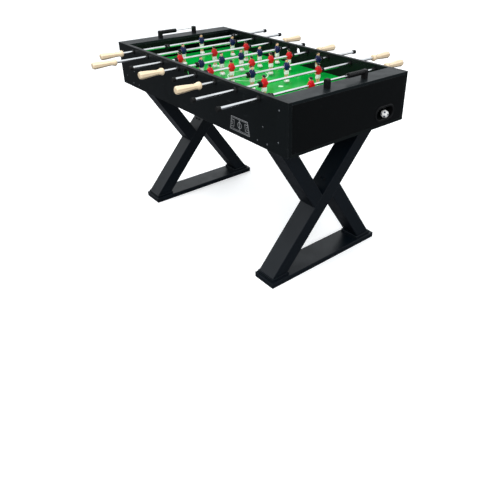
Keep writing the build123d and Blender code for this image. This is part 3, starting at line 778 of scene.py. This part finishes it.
def makePin(name, place, ring):
    """Rolled steel pin that holds the handle on its rod, standing upright in the handle."""
    angle = np.linspace(0, 2 * np.pi, 20, endpoint=False)
    x = place[0] + ring[:, 1:2] * np.cos(angle)
    y = place[1] + ring[:, 1:2] * np.sin(angle)
    z = place[2] + ring[:, 0:1] + 0.9 + 0 * angle
    part = gridPart(np.stack([x, y, z], -1), 0, True)
    makePiece(name + "_grip_pin", [part], [looks["blackPlastic"]], name + "_rod")


def makeRods():
    """Bright steel rods, smooth all round, with a small chamfer at each end."""
    for name, _, _ in rods:
        x, z, start, end = alongRod(name + "_rod")
        ends = ((start, 0.01), (start, rodRadius - 0.6), (start + 0.6, rodRadius))
        profile = ends + tuple((start + end - y, r) for y, r in reversed(ends))
        makePiece(name + "_bar", [latheAcross(profile, (x, 0, z), 48, 0, False)], [looks["chrome"]],
                  name + "_rod", [name + "_rod"])


cap = {"radius": 9.75, "length": 16.0, "wall": 4.0, "ribs": (5.4, 8.4, 11.4)}


def makeCaps():
    """Moulded cap on the rod's free end, with three grooves to grip it by."""
    outline = [(0.0, 0.0), (0.0, cap["radius"] - 0.4), (0.4, cap["radius"])]
    for at in cap["ribs"]:
        outline += [(at, cap["radius"]), (at + 0.4, cap["radius"] - 0.6),
                    (at + 1.4, cap["radius"] - 0.6), (at + 1.8, cap["radius"])]
    outline += [(cap["length"], cap["radius"]), (cap["length"], rodBore), (cap["wall"], rodBore),
                (cap["wall"], 0.0)]
    profile = roundCorners(outline, 2.0)
    profile[[0, -1], 1] = 0.01
    for name, side, count in rods:
        x, z, low, high = alongRod(name + "_end_cap")
        start = low if side == 1 else high
        part = latheAcross(profile, (x, start, z), 48, 0, False, side)
        makePiece(name + "_rubber_cap", [part], [looks["blackRubber"]], name + "_rod",
                  [name + "_end_cap"])


stop = {"bumper": (12.0, 13.0), "washer": (1.5, 11.0), "collar": (12.0, 10.0)}


def ringProfile(start, end, radius, corner, groove=0.0):
    """Section of a ring round the rod, with an optional shallow groove round its middle."""
    outline = [(start, rodBore), (start, radius)]
    if groove:
        middle, reach = (start + end) / 2, (end - start) * 0.16
        outline += [(middle - reach, radius), (middle - reach * 0.5, radius - groove),
                    (middle + reach * 0.5, radius - groove), (middle + reach, radius)]
    return roundLoop(outline + [(end, radius), (end, rodBore)], corner)


def makeStops():
    """Rubber bumper and steel washer at both ends of each row, and the goalies' collars."""
    for name, side, count in rods:
        x, z, low, high = alongRod(name + "_stops")
        parts = []
        for face, inward in ((low, 1), (high, -1)):
            deep, radius = stop["bumper"]
            bumper = ringProfile(0, deep, radius, 2.4, 0.8)
            parts.append(latheAcross(bumper, (x, face, z), 48, 0, True, inward))
            thin, wide = stop["washer"]
            washer = ringProfile(deep, deep + thin, wide, 0.4)
            parts.append(latheAcross(washer, (x, face, z), 48, 1, True, inward))
            if count == 1:
                begin = deep + thin
                collar = ringProfile(begin, begin + stop["collar"][0], stop["collar"][1], 1.0, 0.6)
                parts.append(latheAcross(collar, (x, face, z), 48, 2, True, inward))
        makePiece(name + "_bumpers", parts, [looks["blackRubber"], looks["zincSteel"], looks["blackPlastic"]],
                  name + "_slider", [name + "_stops"])


bushing = {"flange": 13.0, "proud": 5.0, "sleeve": 10.0, "inside": 8.0, "nut": (14.0, 6.0)}


def makeBushings():
    """Moulded bushing through each side panel, with a stepped collar outside and a nut inside."""
    b = bushing
    parts = []
    panels = []
    for node, side in (("front_side_panel", -1), ("rear_side_panel", 1)):
        low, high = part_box(node)
        faces = (low.y, high.y) if side == -1 else (high.y, low.y)
        panels.append((side, faces[0] / mm, faces[1] / mm))
    for name, _, _ in rods:
        x, z, _, _ = alongRod(name + "_rod")
        for side, outer, inner in panels:
            back = -abs(outer - inner) - b["inside"]
            outline = [(back, rodBore), (back, b["sleeve"]), (0, b["sleeve"]), (0, b["flange"]),
                       (2.4, b["flange"]), (3.0, b["flange"] - 2.0), (b["proud"], b["flange"] - 2.8),
                       (b["proud"], rodBore)]
            parts.append(latheAcross(roundLoop(outline, 0.9), (x, outer, z), 48, 0, True, side))
            radius, thick = b["nut"]
            nut = roundLoop([(0, b["sleeve"]), (0, radius), (-thick, radius), (-thick, b["sleeve"])], 0.6)
            nut = nut - (abs(outer - inner), 0)
            share = (nut[:, 1] > b["sleeve"] + 1).astype(float)
            parts.append(latheAcross(nut, (x, outer, z), 48, 0, True, side, 6, share))
    makePiece("bushing_set", parts, [looks["blackPlastic"]], "cabinet", ["rod_bushings"])


# Cabinet fittings

serve = {"flange": 27.0, "tube": 23.0, "bore": 20.0, "proud": 2.0}


def makeServeRings():
    s = serve
    parts = []
    middle = (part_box("serve_rings")[0].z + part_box("serve_rings")[1].z) / 2 / mm
    for node, side in (("front_side_panel", -1), ("rear_side_panel", 1)):
        low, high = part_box(node)
        outer = (low.y if side == -1 else high.y) / mm
        deep = (high.y - low.y) / mm
        outline = [(-deep, s["bore"]), (-deep, s["tube"]), (0, s["tube"]), (0, s["flange"]),
                   (s["proud"], s["flange"] - 0.6), (s["proud"], s["bore"] + 0.8),
                   (s["proud"] - 1.2, s["bore"])]
        parts.append(latheAcross(roundLoop(outline, 0.7), (0, outer, middle), 72, 0, True, side))
    makePiece("serving_rings", parts, [looks["blackPlastic"]], "cabinet", ["serve_rings"])


cup = {"rim": 35.0, "tube": 31.0, "inside": 28.0, "lip": 25.0, "straight": 28.0, "proud": 2.5}


def makeCups():
    """Oval ball cups: the section is carried round an oval, a circle whose two halves are pulled
    apart by the straight."""
    c = cup
    low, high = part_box("return_cups")
    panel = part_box("red_end_panel")[1].x / mm
    back = panel - 22.5
    outline = [(back, c["inside"]), (back, c["tube"]), (panel, c["tube"]), (panel, c["rim"] - 0.3),
               (panel + 1.0, c["rim"]), (panel + c["proud"], c["rim"] - 1.6),
               (panel + c["proud"], c["lip"] + 1.4), (panel + 1.0, c["lip"]), (panel - 0.3, c["lip"] + 0.6),
               (panel - 1.0, c["inside"])]
    section = roundLoop(outline, 0.8)
    angle = np.linspace(0, 2 * np.pi, 96, endpoint=False) + np.pi / 96
    y = c["straight"] * np.sign(np.cos(angle)) + section[:, 1:2] * np.cos(angle)
    z = section[:, 1:2] * np.sin(angle)
    x = section[:, 0:1] * np.ones(96)
    height = (low.z + high.z) / 2 / mm
    across = high.y / mm - c["straight"] - c["rim"]
    one = gridPart(np.stack([x, y, z], -1), 0, True)
    parts = movedParts([one], (0, across, height)) + movedParts([one], (0, -across, height), math.pi)
    makePiece("ball_cups", parts, [looks["blackPlastic"]], "cabinet", ["return_cups"])


counter = {"post": (12.0, 10.0, 37.0), "shift": 6.0, "wire": 2.0, "bead": 10.75, "beads": 10, "bore": 2.06}


def makeCounters():
    low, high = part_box("score_posts")
    halfX, halfY, tall = counter["post"]
    postX = high.x / mm - halfX
    postY = high.y / mm - halfY - counter["shift"]
    base = low.z / mm
    beadLow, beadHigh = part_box("red_score_beads")
    wireZ = (beadLow.z + beadHigh.z) / 2 / mm
    levels = [(base, 0, 0, halfX, halfY), (base + 0.6, 0, 0, halfX, halfY), (base + 12, 0, 0, halfX, halfY),
              (base + tall - 9, 0, 0, halfX, halfY), (base + tall - 3.5, 0, 0, halfX - 1.0, halfY - 0.4),
              (base + tall - 0.9, 0, 0, halfX - 3.0, halfY - 1.4),
              (base + tall, 0, 0, halfX - 5.6, halfY - 3.2)]
    posts, wires = [], []
    for end in (-1, 1):
        middle = end * counter["shift"]
        for side in (-1, 1):
            posts += movedParts([loftUp(levels, 30, 48, 7.0)], (end * postX, middle + side * postY, 0))
        reach = postY - halfY + 2
        wire = [(-reach, 0.01), (-reach, counter["wire"]), (reach, counter["wire"]), (reach, 0.01)]
        wires.append(latheAcross(wire, (end * postX, middle, wireZ), 20, 0, False))
    makePiece("counter_posts", posts, [looks["blackPlastic"]], "cabinet", ["score_posts"])
    makePiece("counter_wires", wires, [looks["chrome"]], "cabinet")
    for team in ("red", "blue"):
        low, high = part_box(team + "_score_beads")
        step = (high.y - low.y) / mm / counter["beads"]
        r = counter["bead"]
        outline = [(0.1, counter["bore"]), (0.1, r - 1.6), (1.0, r - 0.3), (step / 2, r),
                   (step - 1.0, r - 0.3),
                   (step - 0.1, r - 1.6), (step - 0.1, counter["bore"])]
        section = roundLoop(outline, 0.7)
        x = (low.x + high.x) / 2 / mm
        parts = [latheAcross(section, (x, low.y / mm + i * step, wireZ), 40) for i in range(counter["beads"])]
        makePiece(team + "_beads", parts, [looks["blackPlastic"]], team + "_counter",
                  [team + "_score_beads"])


ballSpec = {"seam": 0.014, "groove": 0.014, "pentagon": 2.42, "hexagon": 2.2673}


def makeBall():
    """Sphere with the seams of a stitched ball: each panel has a middle direction, a point belongs to
    the panel whose middle it faces most, pentagons a little less, and seams are where two tie."""
    golden = (1 + 5 ** 0.5) / 2
    corners = np.array([v for a in (-1, 1) for b in (-golden, golden)
                        for v in ((0, a, b), (a, b, 0), (b, 0, a))], float)
    corners /= np.linalg.norm(corners[0])
    far = corners @ corners.T
    faces = np.array([corners[i] + corners[j] + corners[k] for i in range(12) for j in range(i)
                      for k in range(j) if min(far[i, j], far[j, k], far[i, k]) > 0.4])
    faces /= np.linalg.norm(faces, axis=1)[:, None]
    tilt = Quaternion((0.3, 1.0, 0.2), 0.55).to_matrix()
    panels = np.vstack([corners, faces]) @ np.array(tilt).T
    size = np.array([ballSpec["pentagon"]] * 12 + [ballSpec["hexagon"]] * 20)

    def split(way):
        score = np.sort(way @ panels.T / size, axis=-1)
        return score[..., -1] - score[..., -2]

    def groove(way):
        return -ballSpec["groove"] * np.exp(-(split(way) / ballSpec["seam"]) ** 2)

    low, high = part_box("ball")
    centre = np.array((low + high) / 2) / mm
    radius = (high.z - low.z) / 2 / mm - 0.01
    part = globe(centre, (radius,) * 3, 110, 160, 0, groove)
    piece = makePiece("ball_skin", [part], [looks["ball"]], "ball", ["ball"], 80.0)
    way = part["places"] - centre
    way /= np.linalg.norm(way, axis=1)[:, None]
    best = np.argmax(way @ panels.T / size, axis=-1)
    values = {"patch": (best < 12).astype(float), "seam": np.exp(-(split(way) / ballSpec["seam"]) ** 2)}
    for name, data in values.items():
        attribute = piece.data.attributes.new(name, "FLOAT", "POINT")
        attribute.data.foreach_set("value", data.astype(np.float32))


# Screws

def islands(node):
    """Boxes of the separate solids of a CAD node, in millimetres."""
    work = bmesh.new()
    work.from_mesh(nodes[node].data)
    bmesh.ops.remove_doubles(work, verts=work.verts, dist=1e-6)
    seen, found = set(), []
    for vert in work.verts:
        if vert.index in seen:
            continue
        seen.add(vert.index)
        group, waiting = [], [vert]
        while waiting:
            v = waiting.pop()
            group.append(v.co[:])
            for edge in v.link_edges:
                other = edge.other_vert(v)
                if other.index not in seen:
                    seen.add(other.index)
                    waiting.append(other)
        group = np.array(group) / mm
        found.append((group.min(0), group.max(0)))
    work.free()
    return found


screw = {"head": 4.0, "tall": 1.6, "socket": 2.1, "boltHead": 8.0, "boltTall": 5.0, "crossHead": 5.5}


def screwHead(radius, tall, socket, bottom, look=0):
    """Domed head with a six-sided socket."""
    outline = [(0, 0.01), (0, radius), (tall * 0.55, radius), (tall, radius * 0.62), (tall, socket),
               (bottom, socket), (bottom, 0.01)]
    profile = roundCorners(outline, min(0.5, tall * 0.3))
    profile[[0, -1], 1] = 0.01
    half = len(profile) // 2
    share = np.where((np.arange(len(profile)) > half) & (profile[:, 1] <= socket * 1.01), 1.0, 0.0)
    return latheAcross(profile, (0, 0, 0), 36, look, False, 1, 6, share)


def makeScrews():
    """Panel screws on the long sides, leg bolts inside the cabinet and bolts over each crossing."""
    parts = []
    front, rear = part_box("front_side_panel")[0].y / mm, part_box("rear_side_panel")[1].y / mm
    small = screwHead(screw["head"], screw["tall"], screw["socket"], 0.5)
    for low, high in islands("fasteners"):
        middle = (low + high) / 2
        if abs(middle[1]) > rear - 20:
            side = 1 if middle[1] > 0 else -1
            face = rear if side == 1 else front
            turn = 0.0 if side == 1 else math.pi
            parts += movedParts([small], (middle[0], face, middle[2]), turn)
        elif high[2] - low[2] > 20:
            tip = high[2] - screw["boltTall"]
            head = screwHead(screw["boltHead"], screw["boltTall"], 3.4, 2.0)
            upright = dict(head, places=head["places"][:, [0, 2, 1]] * (1, -1, 1))
            parts += movedParts([upright], (middle[0], middle[1], tip))
        else:
            tiltAngle = math.radians(48.0)
            head = screwHead(screw["crossHead"], 3.6, 2.6, 1.4, 1)
            turned = head["places"].copy()
            c, s = math.cos(tiltAngle), math.sin(tiltAngle)
            y, z = turned[:, 1].copy(), turned[:, 2].copy()
            turned[:, 1], turned[:, 2] = -y * s + z * c, y * c + z * s
            parts += movedParts([dict(head, places=turned)], middle)
    makePiece("screw_heads", parts, [looks["screwSteel"], looks["blackedSteel"]], "cabinet",
              ["fasteners"])


# Emblem

emblem = {"x": 393.0, "bottom": 703.0, "top": 761.0, "lowHalf": 68.0, "highHalf": 56.0, "line": 1.7,
          "thick": 0.35}


def ribbon(points, width, closed):
    """Flat line of even width: at each point the two sides lie half the width out along the
    sideways direction of the line there, stretched at corners."""
    points = np.asarray(points, float)
    if closed:
        before, after = np.roll(points, 1, 0), np.roll(points, -1, 0)
    else:
        before = np.vstack([points[:1] * 2 - points[1:2], points[:-1]])
        after = np.vstack([points[1:], points[-1:] * 2 - points[-2:-1]])
    a = (points - before) / np.linalg.norm(points - before, axis=1)[:, None]
    b = (after - points) / np.linalg.norm(after - points, axis=1)[:, None]
    normal = np.stack([-(a + b)[:, 1], (a + b)[:, 0]], -1)
    normal /= np.linalg.norm(normal, axis=1)[:, None]
    stretch = 1 / np.maximum((normal * np.stack([-a[:, 1], a[:, 0]], -1)).sum(1), 0.3)
    offset = normal * (stretch * width / 2)[:, None]
    return points + offset, points - offset


def makeEmblem():
    """A plain sign of a pitch: sloping frame, halfway line, centre circle and two goal boxes."""
    e = emblem
    tall = e["top"] - e["bottom"]

    def spot(u, v):
        half = e["lowHalf"] + (e["highHalf"] - e["lowHalf"]) * v
        return (e["x"] + u * half, e["bottom"] + tall * v)

    angle = np.linspace(0, 2 * np.pi, 40, endpoint=False)
    lines = [
        (True, 1.0, [spot(-1, 0), spot(1, 0), spot(1, 1), spot(-1, 1)]),
        (True, 0.6, [spot(-0.93, 0.09), spot(0.93, 0.09), spot(0.93, 0.91), spot(-0.93, 0.91)]),
        (False, 1.0, [spot(0, 0.09), spot(0, 0.91)]),
        (True, 1.0, np.stack([e["x"] + 13 * np.cos(angle), e["bottom"] + tall / 2 + 13 * np.sin(angle)], -1)),
    ]
    for s in (-1, 1):
        for share, inward, low, high in ((1.0, 0.62, 0.24, 0.76), (0.8, 0.80, 0.40, 0.60)):
            box = ((0.93, high), (inward, high), (inward, low), (0.93, low))
            lines.append((False, share, [spot(s * u, v) for u, v in box]))
    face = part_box("front_side_panel")[0].y / mm
    parts = []
    for closed, share, points in lines:
        left, right = ribbon(points, e["line"] * share, closed)
        ring = [(left, 0.05), (right, 0.05), (right, -e["thick"]), (left, -e["thick"])]
        loop = np.stack([np.column_stack([p[:, 0], np.full(len(p), face + y), p[:, 1]]) for p, y in ring], 1)
        parts.append(gridPart(loop, 0, closed))
    makePiece("pitch_emblem", parts, [looks["silverPrint"]], "cabinet", (), 30.0)


# Boards and beams

boards = {
    "front_side_panel": ("laminate", 0.9, "black_laminate"),
    "rear_side_panel": ("laminate", 0.9, "black_laminate"),
    # end panels and goal walls take the darker copy of the laminate: painted shade
    "red_end_panel": ("shadedEndLaminate", 0.9, "black_laminate"),
    "blue_end_panel": ("shadedEndLaminate", 0.9, "black_laminate"),
    "goal_walls": ("shadedEndLaminate", 0.8, "black_laminate"),
    "end_top_plates": ("litTopPlate", 0.8, "black_laminate"),
    "leg_beams": ("legPaint", 1.2, "leg_black"),
    "feet": ("legPaint", 1.5, "leg_black"),
}


def softenedBoard(name, look, width):
    """The CAD board's own shape with its flat faces joined up and its edges rounded over."""
    mesh = bpy.data.meshes.new(name + "_board")
    work = bmesh.new()
    work.from_mesh(nodes[name].data)
    bmesh.ops.remove_doubles(work, verts=work.verts, dist=1e-6)
    bmesh.ops.dissolve_limit(work, angle_limit=math.radians(0.5), verts=work.verts, edges=work.edges)
    work.to_mesh(mesh)
    work.free()
    mesh.materials.clear()
    mesh.materials.append(looks[look])
    mesh.polygons.foreach_set("material_index", np.zeros(len(mesh.polygons), np.int32))
    piece = bpy.data.objects.new(name + "_board", mesh)
    bpy.context.scene.collection.objects.link(piece)
    edge = piece.modifiers.new("roundedEdges", "BEVEL")
    edge.width = width * mm
    edge.segments = 2
    edge.limit_method = "ANGLE"
    edge.angle_limit = math.radians(40)
    edge.use_clamp_overlap = False
    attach(piece, "cabinet")
    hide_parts(name)


def dressNode(name, look):
    """A CAD node that stays, in its finish."""
    node = nodes[name]
    if not node.material_slots:
        node.data.materials.append(looks[look])
    for each in node.material_slots:
        each.material = looks[look]


def makeBoards():
    for name, (look, width, slot) in boards.items():
        softenedBoard(name, look, width)
    for name, look in (("playfield", "field"), ("playfield_rails", "innerBoard"),
                       ("bottom_panel", "innerBoard"), ("ball_chutes", "innerBoard")):
        dressNode(name, look)


def makeFloor():
    half = studio["floorSize"] / 2
    mesh = bpy.data.meshes.new("floor")
    corners = [(-half, -half, 0), (half, -half, 0), (half, half, 0), (-half, half, 0)]
    mesh.from_pydata(corners, [], [(0, 1, 2, 3)])
    mesh.transform(((1, 0, 0, 0), (0, 1, 0, 0), (0, 0, 1, -0.0005), (0, 0, 0, 1)))
    mesh.materials.append(floorFinish())
    floor = bpy.data.objects.new("floor", mesh)
    bpy.context.scene.collection.objects.link(floor)


makeCamera()
makeLights()
makeFloor()
print("studio: camera, floor and lights")
makeBoards()
print("cabinet and legs")
makePlayers()
print("players")
makeRods()
makeHandles()
makeCaps()
makeStops()
makeBushings()
print("rod fittings")
makeServeRings()
makeCups()
makeCounters()
makeBall()
makeScrews()
makeEmblem()
print("cabinet fittings")
